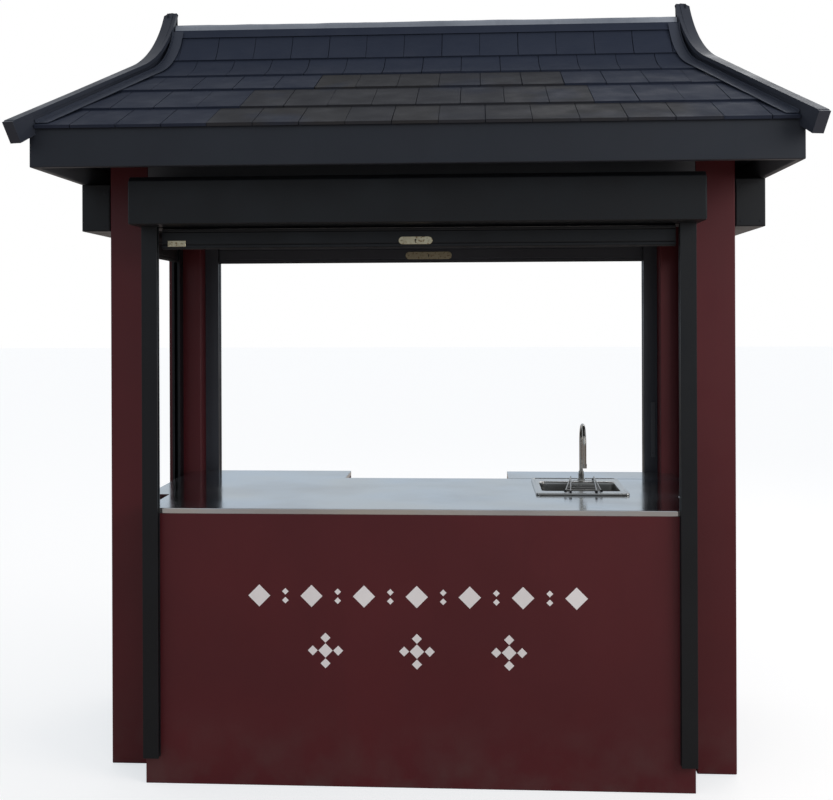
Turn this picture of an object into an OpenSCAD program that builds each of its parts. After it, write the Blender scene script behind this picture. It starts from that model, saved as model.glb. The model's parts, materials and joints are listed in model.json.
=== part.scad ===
// Street food kiosk: four square posts, a counter with a steel worktop and a sink,
// roller shutters rolled up on all four sides, and a curved tiled roof with horned hips.
// Millimetres, +Z up, +X to the customer's right hand when facing the back.
// The origin is on the ground, under the middle of the roof. The front is at -Y.

/* [Posts] */
// Width across the posts' outer faces
posts_w = 2340; // [2000:10:2600]
// Depth across the posts' outer faces
posts_d = 940; // [800:10:1200]
// Side of a square post
post_size = 145; // [100:5:180]
// Height of the posts, up to the soffit
post_h = 2280; // [2250:5:2300]

/* [Counter] */
// Height of the worktop's surface above the ground
counter_h = 1000; // [850:10:1050]
// Thickness of the worktop's folded edge
worktop_t = 20; // [12:1:30]
// How far the front panel stands in front of the posts
front_step = 170; // [120:5:220]
// Width of the front panel
front_panel_w = 1975; // [1800:5:2030]
// Thickness of the wall panels
panel_t = 40; // [25:5:50]
// Width of the standing recess in the back
recess_w = 700; // [500:10:800]
// Depth of the standing recess
recess_d = 220; // [120:5:230]

/* [Sink] */
// Width of the sink's rim
sink_w = 360; // [340:5:400]
// Depth of the sink's rim
sink_d = 415; // [400:5:430]
// Height of the rim above the worktop
sink_rim_h = 9; // [4:1:12]
// Depth of the bowl below the worktop
bowl_h = 160; // [120:5:200]

/* [Tap] */
// Radius of the spout's tube
spout_r = 7.5; // [6:0.5:10]
// Reach of the spout from its riser
spout_reach = 150; // [120:5:170]
// Top of the spout above the worktop
spout_h = 250; // [220:5:300]

/* [Shutters] */
// Underside of the shutter housings
housing_z = 2020; // [1980:5:2060]
// Height of a shutter housing
housing_h = 168; // [150:2:180]
// How far the front housing stands in front of the posts
front_housing_d = 300; // [250:5:320]
// Width of the front housing
front_housing_w = 2010; // [1990:5:2030]
// How far the other housings stand out from the posts
side_housing_d = 110; // [90:5:115]
// Width of a front guide rail
front_rail_w = 57; // [45:1:60]
// Underside of the shutters' bottom bars
bar_z = 1940; // [1900:5:1980]
// Height of the front rails' lower ends above the ground
rail_z = 100; // [60:5:150]

/* [Roof] */
// Width across the fascias
eave_w = 2580; // [2560:10:2700]
// Depth across the fascias
eave_d = 1880; // [1800:10:2000]
// Height of the fascia boards
fascia_h = 135; // [100:5:160]
// Underside of the fascia boards
fascia_z = 2200; // [2195:5:2220]
// Length of the ridge
ridge_l = 2150; // [1900:10:2300]
// Slope of the straight part of the roof, in degrees
roof_slope = 24.5; // [20:0.5:28]
// Radius of the roof's upturn under the ridge
upturn_r = 316; // [280:2:330]
// Slope of the roof just under the ridge, in degrees
ridge_slope = 78; // [70:1:80]
// Thickness of the roof's deck
deck_t = 24; // [15:1:40]
// Thickness of the hip boards
hip_t = 40; // [30:2:50]
// Height of a hip board
hip_h = 84; // [70:2:100]
// Rise of the horns' tips above the roof's top
horn_rise = 82; // [60:2:100]

/* [Hidden] */
$fn = 48;

maroon = "#5e2229";
black = "#23282d";
slate = "#333c49";
steel = "#b9bcbe";
brass = "#b9ad8c";

// Half sizes of the post grid, outside and inside
post_x = posts_w / 2;
post_y = posts_d / 2;
post_in_x = post_x - post_size;
post_in_y = post_y - post_size;

// Counter
panel_h = counter_h - worktop_t;
front_y = -post_y - front_step;
front_x = front_panel_w / 2;
worktop_over = 50;
back_over = 35;
side_x = post_in_x + worktop_over;
back_y = post_in_y + back_over;
recess_y = back_y - recess_d;

// Sink and tap
sink_x = 625;
sink_y = -102;
sink_left = sink_x - sink_w / 2;
sink_front = sink_y - sink_d / 2;
bowl_in_left = 30;
bowl_in_right = 26;
bowl_in_front = 76;
bowl_in_back = 98;
bowl_x0 = sink_left + bowl_in_left;
bowl_x1 = sink_left + sink_w - bowl_in_right;
bowl_y0 = sink_front + bowl_in_front;
bowl_y1 = sink_front + sink_d - bowl_in_back;
bowl_t = 3;
rim_lap = 15;
waste_r = 45;
sink_top = counter_h + sink_rim_h;
tap_x = 652;
tap_in_back = 46;
tap_y = sink_front + sink_d - tap_in_back;
tap_base_h = 26;
tap_r = 12;
flange_r = 16;
flange_h = 4;
collar_h = 10;
collar_over = 3;
nozzle_h = 18;
nozzle_over = 1.5;
swivel_gap = 0.5;
arch_r = spout_reach / 2;
spout_z = sink_top + tap_base_h + swivel_gap;
arch_z = counter_h + spout_h - arch_r - spout_r;
spout_end_h = 85;
spout_end_z = counter_h + spout_end_h;

// Dish rack
wire_r = 3;
joint_r = 4;
cross_r = 2;
rack_z = sink_top + 2 * joint_r;
rack_hump = 34;
rack_lift = 60;
rack_wires = 6;
rack_left = 48;
rack_right = 70;
rack_front = 22;
rack_back = 18;
rack_x0 = sink_x - rack_left;
rack_x1 = sink_x + rack_right;
rack_y0 = bowl_y0 - rack_front;
rack_y1 = bowl_y1 + rack_back;

// Shutters
rail_t = 30;
back_rail_t = 60;
side_rail_t = 35;
side_rail_in = 30;
rail_reach = 60;
front_rail_x = 990;
bar_h = 78;
bar_t = 22;
housing_top = housing_z + housing_h;
chamfer = 14;
slot_t = 34;
front_bar_in = 20;
front_bar_y = front_y + front_bar_in;
back_bar_y = post_y - back_rail_t / 2;
side_rail_x = post_x - side_rail_in;
side_bar_x = side_rail_x - side_rail_t / 2;
// The side housings stop just under the fascia, which they reach under
side_housing_gap = 2;
side_housing_top = fascia_z - side_housing_gap;
plate_t = 4;
// Plates on the bars as [length, height, middle above the bar's underside]
front_plate = [122, 28, 26];
back_plate = [210, 34, 32];
corner_plate = [66, 22, 20];
corner_plate_x = -870;
strap_x = post_in_x - 20;
strap_z = 1060;
strap_w = 18;
strap_t = 5;
strap_l = 245;
strap_hole_r = 4;
strap_hole_up = 18;
clearance = 8;

// Roof
eave_x = eave_w / 2;
eave_y = eave_d / 2;
eave_z = fascia_z + fascia_h;
ridge_x = ridge_l / 2;
ridge_half = 22;
fascia_t = 25;
soffit_t = 20;
board_gap = 1;
arc_steps = 14;

// The front slope's outline as [distance from the eave, height above the eave]: a straight
// slope, then an arc that turns up to the ridge.
arc_run = upturn_r * (sin(ridge_slope) - sin(roof_slope));
arc_rise = upturn_r * (cos(roof_slope) - cos(ridge_slope));
straight_run = eave_y - ridge_half - arc_run;
straight_rise = straight_run * tan(roof_slope);
roof_rise = straight_rise + arc_rise;
roof_top = eave_z + roof_rise;
slope_line = concat(
    [[0, 0]],
    [for (i = [0:arc_steps])
        let (a = roof_slope + (ridge_slope - roof_slope) * i / arc_steps)
        [straight_run + upturn_r * (sin(a) - sin(roof_slope)),
         straight_rise + upturn_r * (cos(roof_slope) - cos(a))]]
);

// A hip runs straight in plan from an eave corner to an end of the ridge
hip_dx = eave_x - ridge_x;
hip_run = sqrt(hip_dx * hip_dx + eave_y * eave_y);
hip_angle = atan(hip_dx / eave_y);
hip_slope = atan(tan(roof_slope) * eave_y / hip_run);
hip_over = 118;
hip_above = 52;
hip_bend = 700;
hip_end_back = 45;
hip_top_z = eave_z + hip_above;
hip_bend_z = hip_top_z + hip_bend * tan(hip_slope);
horn_z = roof_top + horn_rise;
// The horn's arc starts along the hip and ends at the tip
horn_chord = norm([hip_run - hip_bend, horn_z - hip_bend_z]);
horn_chord_a = atan2(horn_z - hip_bend_z, hip_run - hip_bend);
horn_turn = horn_chord_a - hip_slope;
horn_r = horn_chord / (2 * sin(horn_turn));
horn_line = [for (i = [0:arc_steps])
    let (a = hip_slope + 2 * horn_turn * i / arc_steps)
    [hip_bend + horn_r * (sin(a) - sin(hip_slope)),
     hip_bend_z + horn_r * (cos(hip_slope) - cos(a))]];

// ---- helpers ----

// A box between two corners
module span(lo, hi) {
    translate(lo) cube(hi - lo);
}

// A chamfer-edged box along X, with its top front edge cut at 45 degrees
module housing(length, depth) {
    rotate([90, 0, 90]) linear_extrude(length, center = true) polygon([
        [0, 0], [depth, 0], [depth, housing_h - chamfer],
        [depth - chamfer, housing_h], [0, housing_h]
    ]);
}

// The roof's outline in section, closed at the given depth below the eave
function roof_outline(half, scale_x, drop) = concat(
    [for (p = slope_line) [half - p[0] * scale_x, p[1]]],
    [for (i = [len(slope_line) - 1:-1:0])
        [-(half - slope_line[i][0] * scale_x), slope_line[i][1]]],
    [[-half, -drop], [half, -drop]]
);

// A solid of the roof's outer surface, closed at the height of the eave
module roof_solid(drop) {
    intersection() {
        translate([0, 0, eave_z]) rotate([90, 0, 90])
            linear_extrude(eave_w, center = true)
                polygon(roof_outline(eave_y, 1, drop));
        translate([0, 0, eave_z]) rotate([90, 0, 0])
            linear_extrude(eave_d, center = true)
                polygon(roof_outline(eave_x, hip_dx / eave_y, drop));
    }
}

// The roof's deck, before it is parted along the hips
module deck() {
    difference() {
        roof_solid(0);
        translate([0, 0, -deck_t]) roof_solid(deck_t);
    }
}

// Plan of the front slope, and of the right-hand slope
front_plan = [[-eave_x, -eave_y], [eave_x, -eave_y], [ridge_x, 0], [-ridge_x, 0]];
right_plan = [[eave_x, -eave_y], [eave_x, eave_y], [ridge_x, 0]];

module slope_over(plan) {
    intersection() {
        deck();
        translate([0, 0, eave_z - deck_t]) linear_extrude(roof_rise + 2 * deck_t) polygon(plan);
    }
}

// One hip board at the front right corner, standing on the roof's surface
module hip_board() {
    difference() {
        intersection() {
            translate([eave_x, -eave_y, 0])
                rotate([0, 0, 90 + hip_angle])
                    rotate([90, 0, 0])
                        linear_extrude(hip_t, center = true)
                            polygon(concat(
                                [[-hip_over + hip_end_back, hip_top_z - hip_h - hip_over * tan(hip_slope)
                                    + hip_end_back * tan(hip_slope)],
                                 [-hip_over, hip_top_z - hip_over * tan(hip_slope)]],
                                horn_line,
                                [[hip_run + hip_t, horn_z], [hip_run + hip_t, roof_top - hip_h]]
                            ));
            span([0, -eave_y - hip_over - hip_t, fascia_z], [eave_x + hip_over, 0, horn_z + hip_h]);
        }
        roof_solid(0);
        span([0, -eave_y, fascia_z - 1], [eave_x, 1, eave_z + 1]);
    }
}

// ---- posts and walls ----

module post(x, y) {
    color(maroon) span([x - post_size / 2, y - post_size / 2, 0],
                       [x + post_size / 2, y + post_size / 2, post_h]);
}
module post_front_left() {
    post(-(post_x + post_in_x) / 2, -(post_y + post_in_y) / 2);
}
module post_front_right() {
    post((post_x + post_in_x) / 2, -(post_y + post_in_y) / 2);
}
module post_back_left() {
    post(-(post_x + post_in_x) / 2, (post_y + post_in_y) / 2);
}
module post_back_right() {
    post((post_x + post_in_x) / 2, (post_y + post_in_y) / 2);
}

// The front panel is a shallow tray: a face with a return at each end, back to the posts
module front_panel() {
    color(maroon) difference() {
        span([-front_x, front_y, 0], [front_x, -post_y, panel_h]);
        span([-front_x + panel_t, front_y + panel_t, -1], [front_x - panel_t, 0, panel_h + 1]);
    }
}
module side_panel(side) {
    color(maroon) mirror([side < 0 ? 1 : 0, 0, 0])
        span([side_x - panel_t, -post_in_y, 0], [side_x, post_in_y, panel_h]);
}
module side_panel_left() {
    side_panel(-1);
}
module side_panel_right() {
    side_panel(1);
}

// A back panel runs from its post to the recess
module back_panel(side) {
    color(maroon) mirror([side < 0 ? 1 : 0, 0, 0])
        span([recess_w / 2, back_y - panel_t, 0], [post_in_x, back_y, panel_h]);
}
module back_panel_left() {
    back_panel(-1);
}
module back_panel_right() {
    back_panel(1);
}

// The recess is lined by a panel and a return at each side
module recess_panel() {
    color(maroon) difference() {
        span([-recess_w / 2 - panel_t, recess_y - panel_t, 0],
             [recess_w / 2 + panel_t, back_y - panel_t, panel_h]);
        span([-recess_w / 2, recess_y, -1], [recess_w / 2, back_y, panel_h + 1]);
    }
}

// ---- worktop, sink and tap ----

// The worktop fits round the posts and steps in at the recess
module worktop() {
    color(steel) translate([0, 0, panel_h]) linear_extrude(worktop_t) difference() {
        union() {
            translate([-front_x, front_y]) square([2 * front_x, -post_in_y - front_y]);
            translate([-side_x, -post_in_y]) square([2 * side_x, 2 * post_in_y]);
            translate([-post_in_x, 0]) square([2 * post_in_x, back_y]);
        }
        translate([-recess_w / 2, recess_y]) square([recess_w, recess_d + 1]);
        translate([bowl_x0 - rim_lap, bowl_y0 - rim_lap])
            square([bowl_x1 - bowl_x0 + 2 * rim_lap, bowl_y1 - bowl_y0 + 2 * rim_lap]);
    }
}

// The sink's rim lies on the worktop and its bowl hangs through the cut-out
module sink() {
    color(steel) difference() {
        union() {
            span([sink_left, sink_front, counter_h],
                 [sink_left + sink_w, sink_front + sink_d, sink_top]);
            span([bowl_x0 - bowl_t, bowl_y0 - bowl_t, counter_h - bowl_h - bowl_t],
                 [bowl_x1 + bowl_t, bowl_y1 + bowl_t, counter_h]);
        }
        span([bowl_x0, bowl_y0, counter_h - bowl_h], [bowl_x1, bowl_y1, sink_top + 1]);
        translate([(bowl_x0 + bowl_x1) / 2, (bowl_y0 + bowl_y1) / 2, counter_h - bowl_h - 2 * bowl_t])
            cylinder(h = 3 * bowl_t, r = waste_r);
    }
}

// A straight wire between two points
module wire(a, b, r) {
    d = b - a;
    translate(a) rotate([0, acos(d[2] / norm(d)), atan2(d[1], d[0])]) cylinder(h = norm(d), r = r);
}

// One side frame of the rack: a wire that rises over the bowl from the front rim to the back,
// with a knuckle at each bend
module rack_side(x) {
    low = rack_z - joint_r;
    points = [
        [x, rack_y0, low], [x, rack_y0 + rack_lift, rack_z + rack_hump],
        [x, rack_y1 - rack_lift, rack_z + rack_hump], [x, rack_y1, low]
    ];
    for (i = [0:3]) {
        translate(points[i]) sphere(r = joint_r);
        wire(points[i], points[(i + 1) % 4], wire_r);
    }
}
module dish_rack() {
    low = rack_z - joint_r;
    color(steel) {
        rack_side(rack_x0);
        rack_side(rack_x1);
        for (k = [1:rack_wires]) {
            y = rack_y0 + (rack_y1 - rack_y0) * k / (rack_wires + 1);
            wire([rack_x0, y, low], [rack_x1, y, low], cross_r);
        }
    }
}

// The tap's base: a flange on the sink's rim and a short barrel
module tap_base() {
    color(steel) translate([tap_x, tap_y, sink_top]) {
        cylinder(h = flange_h, r = flange_r);
        cylinder(h = tap_base_h, r = tap_r);
    }
}

// The spout: a collar on the base, a riser, a half-round arch and a short drop
module tap_spout() {
    color(steel) translate([tap_x, tap_y, 0]) {
        translate([0, 0, spout_z]) cylinder(h = collar_h, r = spout_r + collar_over);
        translate([0, 0, spout_z]) cylinder(h = arch_z - spout_z, r = spout_r);
        translate([0, -arch_r, arch_z]) rotate([90, 0, 90])
            rotate_extrude(angle = 180) translate([arch_r, 0]) circle(r = spout_r);
        translate([0, -spout_reach, spout_end_z]) cylinder(h = arch_z - spout_end_z, r = spout_r);
        translate([0, -spout_reach, spout_end_z - nozzle_h / 2])
            cylinder(h = nozzle_h, r = spout_r + nozzle_over);
    }
}

// ---- shutters ----

module shutter_housing_front() {
    color(black) difference() {
        translate([0, -post_y, housing_z]) mirror([0, 1, 0])
            housing(front_housing_w, front_housing_d);
        span([-front_rail_x + clearance, front_bar_y - slot_t / 2, housing_z - 1],
             [front_rail_x - clearance, front_bar_y + slot_t / 2, housing_z + bar_h]);
    }
}
module shutter_housing_back() {
    color(black) translate([0, post_y, housing_z]) housing(posts_w, side_housing_d);
}
module side_housing(side) {
    color(black) mirror([side < 0 ? 1 : 0, 0, 0])
        span([post_x, -post_y, housing_z], [post_x + side_housing_d, post_y, side_housing_top]);
}
module shutter_housing_left() {
    side_housing(-1);
}
module shutter_housing_right() {
    side_housing(1);
}

module shutter_rails_front() {
    color(black) for (side = [-1, 1]) mirror([side < 0 ? 1 : 0, 0, 0])
        span([front_rail_x - front_rail_w, front_y - rail_t, rail_z],
             [front_rail_x, front_y, housing_z]);
}

// A guide rail on a post's face, from the ground to the head beam
module shutter_rails_back() {
    color(black) for (side = [-1, 1]) mirror([side < 0 ? 1 : 0, 0, 0])
        span([post_in_x - rail_reach, post_y - back_rail_t, rail_z],
             [post_in_x, post_y, fascia_z]);
}
module side_rails(side) {
    color(black) mirror([side < 0 ? 1 : 0, 0, 0]) for (end = [-1, 1]) mirror([0, end < 0 ? 1 : 0, 0])
        span([side_rail_x - side_rail_t, post_in_y - rail_reach, rail_z],
             [side_rail_x, post_in_y, fascia_z]);
}
module shutter_rails_left() {
    side_rails(-1);
}
module shutter_rails_right() {
    side_rails(1);
}

// A bottom bar with the last slats of the curtain above it, up to the housing
module shutter_bar_front() {
    color(black) span([-front_rail_x + front_rail_w + clearance, front_bar_y - bar_t / 2, bar_z],
                      [front_rail_x - front_rail_w - clearance, front_bar_y + bar_t / 2,
                       housing_z + bar_h / 2]);
}
module shutter_bar_back() {
    color(black) span([-post_in_x + rail_reach, back_bar_y - bar_t / 2, bar_z],
                      [post_in_x - rail_reach, back_bar_y + bar_t / 2, fascia_z]);
}
module side_bar(side) {
    color(black) mirror([side < 0 ? 1 : 0, 0, 0])
        span([side_bar_x - bar_t / 2, -post_in_y + rail_reach, bar_z],
             [side_bar_x + bar_t / 2, post_in_y - rail_reach, fascia_z]);
}
module shutter_bar_left() {
    side_bar(-1);
}
module shutter_bar_right() {
    side_bar(1);
}

// A round-ended plate, upright in the XZ plane, on the face of a bar
module round_plate(size, bar_y) {
    reach = (size[0] - size[1]) / 2;
    translate([0, bar_y - bar_t / 2, bar_z + size[2]]) rotate([90, 0, 0]) linear_extrude(plate_t) {
        square([2 * reach, size[1]], center = true);
        for (end = [-1, 1]) translate([end * reach, 0]) circle(d = size[1]);
    }
}
// The plates on the bottom bars: a corner plate and a round-ended lock plate in front, and a
// lock plate behind
module lock_plates() {
    color(brass) {
        round_plate(front_plate, front_bar_y);
        round_plate(back_plate, back_bar_y);
        translate([corner_plate_x, front_bar_y - bar_t / 2 - plate_t / 2, bar_z + corner_plate[2]])
            cube([corner_plate[0], plate_t, corner_plate[1]], center = true);
    }
}

// A flat strap with a hole in its lower end, upright on the right-hand back rail
module lock_strap() {
    color(steel) difference() {
        span([strap_x - strap_w / 2, post_y - back_rail_t - strap_t, strap_z],
             [strap_x + strap_w / 2, post_y - back_rail_t, strap_z + strap_l]);
        translate([strap_x, post_y, strap_z + strap_hole_up]) rotate([90, 0, 0])
            cylinder(h = 2 * back_rail_t, r = strap_hole_r);
    }
}

// ---- head and roof ----

// Beams between the tops of the posts
module head_beams() {
    beam_t = 60;
    color(black) {
        for (end = [-1, 1]) mirror([0, end < 0 ? 1 : 0, 0])
            span([-post_in_x, post_y - beam_t, fascia_z], [post_in_x, post_y, post_h]);
        for (side = [-1, 1]) mirror([side < 0 ? 1 : 0, 0, 0])
            span([post_x - beam_t, -post_in_y, fascia_z], [post_x, post_in_y, post_h]);
    }
}
module soffit() {
    color(slate) span([-eave_x + fascia_t, -eave_y + fascia_t, post_h],
                      [eave_x - fascia_t, eave_y - fascia_t, post_h + soffit_t]);
}
module fascia() {
    color(slate) {
        for (end = [-1, 1]) mirror([0, end < 0 ? 1 : 0, 0])
            span([-eave_x, eave_y - fascia_t, fascia_z], [eave_x, eave_y, eave_z]);
        for (side = [-1, 1]) mirror([side < 0 ? 1 : 0, 0, 0])
            span([eave_x - fascia_t, -eave_y + fascia_t + board_gap, fascia_z],
                 [eave_x, eave_y - fascia_t - board_gap, eave_z]);
    }
}

module roof_slope_front() {
    color(slate) slope_over(front_plan);
}
module roof_slope_back() {
    color(slate) mirror([0, 1, 0]) slope_over(front_plan);
}
module roof_slope_right() {
    color(slate) slope_over(right_plan);
}
module roof_slope_left() {
    color(slate) mirror([1, 0, 0]) slope_over(right_plan);
}

// The ridge cap ends at the hip boards
module ridge_cap() {
    cap_w = 2 * ridge_half;
    cap_h = 28;
    cap_r = 24;
    cap_gap = 0.5;
    color(steel) difference() {
        translate([0, 0, roof_top + cap_gap]) rotate([90, 0, 90])
            linear_extrude(ridge_l, center = true) intersection() {
                translate([-cap_w / 2, 0]) square([cap_w, cap_h]);
                translate([0, cap_h - cap_r]) circle(r = cap_r);
            }
        for (side = [0, 1]) mirror([side, 0, 0]) for (end = [0, 1]) mirror([0, end, 0]) hip_board();
    }
}

module hip_board_front_right() {
    color(slate) hip_board();
}
module hip_board_front_left() {
    color(slate) mirror([1, 0, 0]) hip_board();
}
module hip_board_back_right() {
    color(slate) mirror([0, 1, 0]) hip_board();
}
module hip_board_back_left() {
    color(slate) mirror([1, 0, 0]) mirror([0, 1, 0]) hip_board();
}

post_front_left();
post_front_right();
post_back_left();
post_back_right();
front_panel();
side_panel_left();
side_panel_right();
back_panel_left();
back_panel_right();
recess_panel();
worktop();
sink();
dish_rack();
tap_base();
tap_spout();
shutter_housing_front();
shutter_housing_back();
shutter_housing_left();
shutter_housing_right();
shutter_rails_front();
shutter_rails_back();
shutter_rails_left();
shutter_rails_right();
shutter_bar_front();
shutter_bar_back();
shutter_bar_left();
shutter_bar_right();
lock_plates();
lock_strap();
head_beams();
soffit();
fascia();
roof_slope_front();
roof_slope_back();
roof_slope_left();
roof_slope_right();
ridge_cap();
hip_board_front_left();
hip_board_front_right();
hip_board_back_left();
hip_board_back_right();
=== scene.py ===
"""Street kiosk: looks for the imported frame. Metres, front at -Y, ground at z = 0."""

import json
import math
import random

import bmesh
import bpy
from mathutils import Matrix, Vector


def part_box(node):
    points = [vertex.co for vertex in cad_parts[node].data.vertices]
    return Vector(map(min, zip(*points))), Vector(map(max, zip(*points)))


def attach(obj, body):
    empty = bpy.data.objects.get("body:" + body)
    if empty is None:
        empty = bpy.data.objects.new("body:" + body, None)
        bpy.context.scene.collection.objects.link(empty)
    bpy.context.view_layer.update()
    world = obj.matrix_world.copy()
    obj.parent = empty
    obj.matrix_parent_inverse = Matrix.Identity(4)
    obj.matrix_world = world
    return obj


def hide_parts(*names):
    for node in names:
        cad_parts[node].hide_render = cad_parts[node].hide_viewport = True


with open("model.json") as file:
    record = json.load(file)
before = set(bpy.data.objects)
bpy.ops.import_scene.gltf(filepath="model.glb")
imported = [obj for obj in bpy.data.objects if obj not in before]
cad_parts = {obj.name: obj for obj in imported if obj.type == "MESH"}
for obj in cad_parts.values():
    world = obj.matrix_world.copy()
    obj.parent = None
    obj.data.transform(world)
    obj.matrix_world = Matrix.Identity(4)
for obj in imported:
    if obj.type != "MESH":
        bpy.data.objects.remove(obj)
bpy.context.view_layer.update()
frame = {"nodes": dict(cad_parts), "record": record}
BODY = "kiosk"
MM = 0.001
SLOT_OF = {s["node"]: s["material_slot"] for s in frame["record"]["subparts"]}
SIDES = (-1, 1)


# ---- camera, light and floor ----

CAMERA_AT = (0.2218, -4.597, 1.685)
CAMERA_YAW = math.radians(3.17)
CAMERA_ROLL = -0.0035
CAMERA_LENS = 47.75
CAMERA_SHIFT = -0.0978

FLOOR_REACH = 60
FLOOR_BELOW = 0.5 * MM


def add_camera():
    data = bpy.data.cameras.new("camera")
    data.lens = CAMERA_LENS
    data.shift_y = CAMERA_SHIFT
    camera = bpy.data.objects.new("camera", data)
    turn = (Matrix.Rotation(CAMERA_YAW, 4, "Z") @ Matrix.Rotation(math.pi / 2, 4, "X")
            @ Matrix.Rotation(CAMERA_ROLL, 4, "Z"))
    camera.matrix_world = Matrix.Translation(CAMERA_AT) @ turn
    bpy.context.scene.collection.objects.link(camera)
    bpy.context.scene.camera = camera


def add_area_light(name, at, target, size, power, colour):
    data = bpy.data.lights.new(name, "AREA")
    data.size = size
    data.energy = power
    data.color = colour
    light = bpy.data.objects.new(name, data)
    aim = Vector(target) - Vector(at)
    light.matrix_world = Matrix.Translation(at) @ aim.to_track_quat("-Z", "Y").to_matrix().to_4x4()
    bpy.context.scene.collection.objects.link(light)


def seen_directly(tree):
    """1 where the backdrop or floor is seen, and 0 where it only lights the kiosk."""
    return tree.nodes.new("ShaderNodeLightPath").outputs["Is Camera Ray"]


def add_world():
    """A white studio backdrop, which lights the kiosk softly: pale blue low down, whiter above."""
    world = bpy.data.worlds.new("studio")
    bpy.context.scene.world = world
    world.use_nodes = True
    tree = world.node_tree
    coords = tree.nodes.new("ShaderNodeTexCoord")
    split = tree.nodes.new("ShaderNodeSeparateXYZ")
    ramp = tree.nodes.new("ShaderNodeValToRGB")
    ramp.color_ramp.elements[0].position = 0.05
    ramp.color_ramp.elements[0].color = (0.52, 0.60, 0.68, 1)
    ramp.color_ramp.elements[1].position = 0.6
    ramp.color_ramp.elements[1].color = (0.66, 0.68, 0.72, 1)
    tree.links.new(coords.outputs["Generated"], split.inputs[0])
    tree.links.new(split.outputs["Z"], ramp.inputs[0])
    tree.links.new(ramp.outputs[0], tree.nodes["Background"].inputs["Color"])
    backdrop = tree.nodes.new("ShaderNodeBackground")
    backdrop.inputs["Color"].default_value = (1, 1, 1, 1)
    mix = tree.nodes.new("ShaderNodeMixShader")
    tree.links.new(seen_directly(tree), mix.inputs[0])
    tree.links.new(tree.nodes["Background"].outputs[0], mix.inputs[1])
    tree.links.new(backdrop.outputs[0], mix.inputs[2])
    tree.links.new(mix.outputs[0], tree.nodes["World Output"].inputs["Surface"])


def add_floor():
    """A white floor that runs into the backdrop."""
    bm = bmesh.new()
    bmesh.ops.create_grid(bm, x_segments=1, y_segments=1, size=FLOOR_REACH)
    mesh = bpy.data.meshes.new("floor")
    bm.to_mesh(mesh)
    bm.free()
    floor = bpy.data.objects.new("floor", mesh)
    floor.location.z = -FLOOR_BELOW
    mat = bpy.data.materials.new("floor")
    mat.use_nodes = True
    tree = mat.node_tree
    shader = tree.nodes["Principled BSDF"]
    shader.inputs["Base Color"].default_value = (0.55, 0.47, 0.41, 1)
    shader.inputs["Roughness"].default_value = 0.9
    glow = tree.nodes.new("ShaderNodeMath")
    glow.operation = "MULTIPLY"
    glow.inputs[1].default_value = 0.66
    tree.links.new(seen_directly(tree), glow.inputs[0])
    tree.links.new(glow.outputs[0], shader.inputs["Emission Strength"])
    shader.inputs["Emission Color"].default_value = (0.88, 0.95, 1.0, 1)
    mesh.materials.append(mat)
    bpy.context.scene.collection.objects.link(floor)


# ---- materials ----

def srgb(*levels):
    """Linear colour from 0-255 display levels."""
    return tuple((v / 255 / 12.92) if v <= 10 else ((v / 255 + 0.055) / 1.055) ** 2.4 for v in levels)


class Nodes:
    """Short calls for building one material's node tree."""

    def __init__(self, name):
        self.material = bpy.data.materials.new(name)
        self.material.use_nodes = True
        self.tree = self.material.node_tree
        self.shader = self.tree.nodes["Principled BSDF"]
        self.place = self.tree.nodes.new("ShaderNodeTexCoord").outputs["Object"]

    def link(self, out, into):
        self.tree.links.new(out, into)

    def noise(self, scale, detail=3.0, stretch=(1, 1, 1), roughness=0.5):
        mapping = self.tree.nodes.new("ShaderNodeMapping")
        mapping.inputs["Scale"].default_value = stretch
        self.link(self.place, mapping.inputs["Vector"])
        node = self.tree.nodes.new("ShaderNodeTexNoise")
        node.inputs["Scale"].default_value = scale
        node.inputs["Detail"].default_value = detail
        node.inputs["Roughness"].default_value = roughness
        self.link(mapping.outputs[0], node.inputs["Vector"])
        return node.outputs["Fac"]

    def spread(self, value, low, high, to_low=0.0, to_high=1.0):
        node = self.tree.nodes.new("ShaderNodeMapRange")
        for name, number in (("From Min", low), ("From Max", high), ("To Min", to_low), ("To Max", to_high)):
            node.inputs[name].default_value = number
        self.link(value, node.inputs["Value"])
        return node.outputs[0]

    def math(self, operation, a, b):
        node = self.tree.nodes.new("ShaderNodeMath")
        node.operation = operation
        for socket, value in zip(node.inputs, (a, b)):
            if isinstance(value, (int, float)):
                socket.default_value = value
            else:
                self.link(value, socket)
        return node.outputs[0]

    def mix(self, factor, a, b):
        node = self.tree.nodes.new("ShaderNodeMix")
        node.data_type = "RGBA"
        self.link(factor, node.inputs[0])
        inputs = [s for s in node.inputs if s.type == "RGBA"]
        for socket, value in zip(inputs, (a, b)):
            if isinstance(value, tuple):
                socket.default_value = (*value, 1)
            else:
                self.link(value, socket)
        return next(s for s in node.outputs if s.type == "RGBA")

    def height(self):
        split = self.tree.nodes.new("ShaderNodeSeparateXYZ")
        self.link(self.place, split.inputs[0])
        return split.outputs["Z"]

    def edges(self, radius):
        """1 on sharp edges and 0 on flat faces."""
        bevel = self.tree.nodes.new("ShaderNodeBevel")
        bevel.samples = 4
        bevel.inputs["Radius"].default_value = radius
        geometry = self.tree.nodes.new("ShaderNodeNewGeometry")
        dot = self.tree.nodes.new("ShaderNodeVectorMath")
        dot.operation = "DOT_PRODUCT"
        self.link(bevel.outputs[0], dot.inputs[0])
        self.link(geometry.outputs["Normal"], dot.inputs[1])
        return self.spread(dot.outputs["Value"], 0.99, 0.85)

    def bump(self, value, distance, strength=1.0):
        node = self.tree.nodes.new("ShaderNodeBump")
        node.inputs["Distance"].default_value = distance
        node.inputs["Strength"].default_value = strength
        self.link(value, node.inputs["Height"])
        self.link(node.outputs[0], self.shader.inputs["Normal"])

    def set(self, name, value):
        self.shader.inputs[name].default_value = value


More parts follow.
